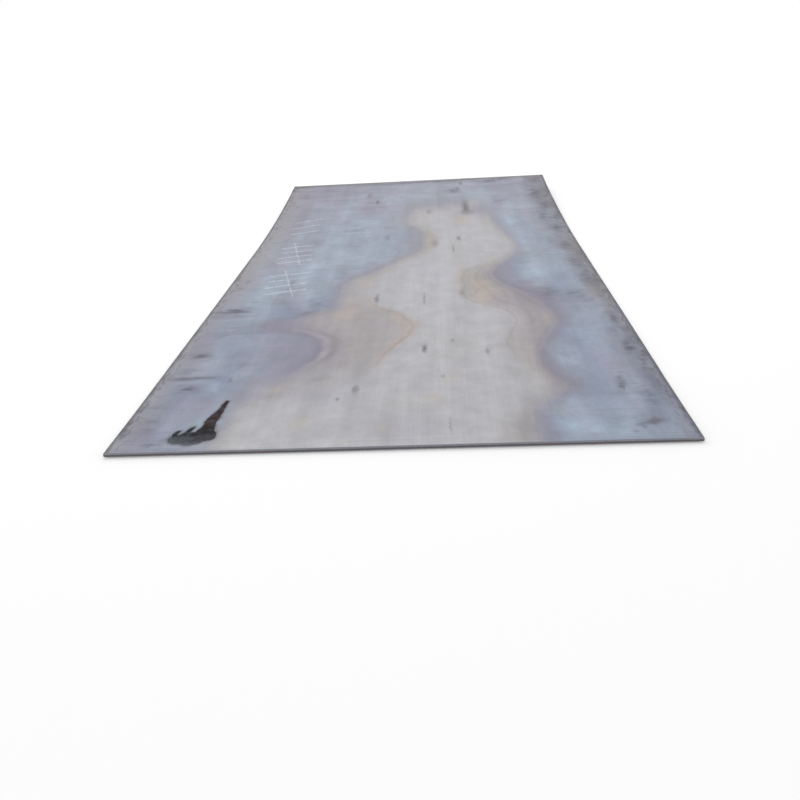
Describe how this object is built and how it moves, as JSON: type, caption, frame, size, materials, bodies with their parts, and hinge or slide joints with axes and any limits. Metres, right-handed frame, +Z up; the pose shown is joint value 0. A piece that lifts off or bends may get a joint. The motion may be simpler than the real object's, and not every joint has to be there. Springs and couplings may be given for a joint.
{
  "type": "steel plate",
  "caption": "Flat hot-rolled steel plate with rounded mill edges, sheared ends and a slight lengthwise bow, to be cut, welded or laid as stock.",
  "frame": {"origin": "on the floor, under the middle of the plate's footprint", "axes": "+X across the plate, +Y along its length from its nearly flat end to its more bowed end, +Z up"},
  "size_m": [1.5, 2.9967, 0.0799],
  "materials": {
    "mill_scale_steel": "hot-rolled, with satin blue-grey to pale grey mill scale, light rust at the cut edges"
  },
  "bodies": {
    "root": {"steel_plate": "mill_scale_steel"}
  },
  "joints": []
}
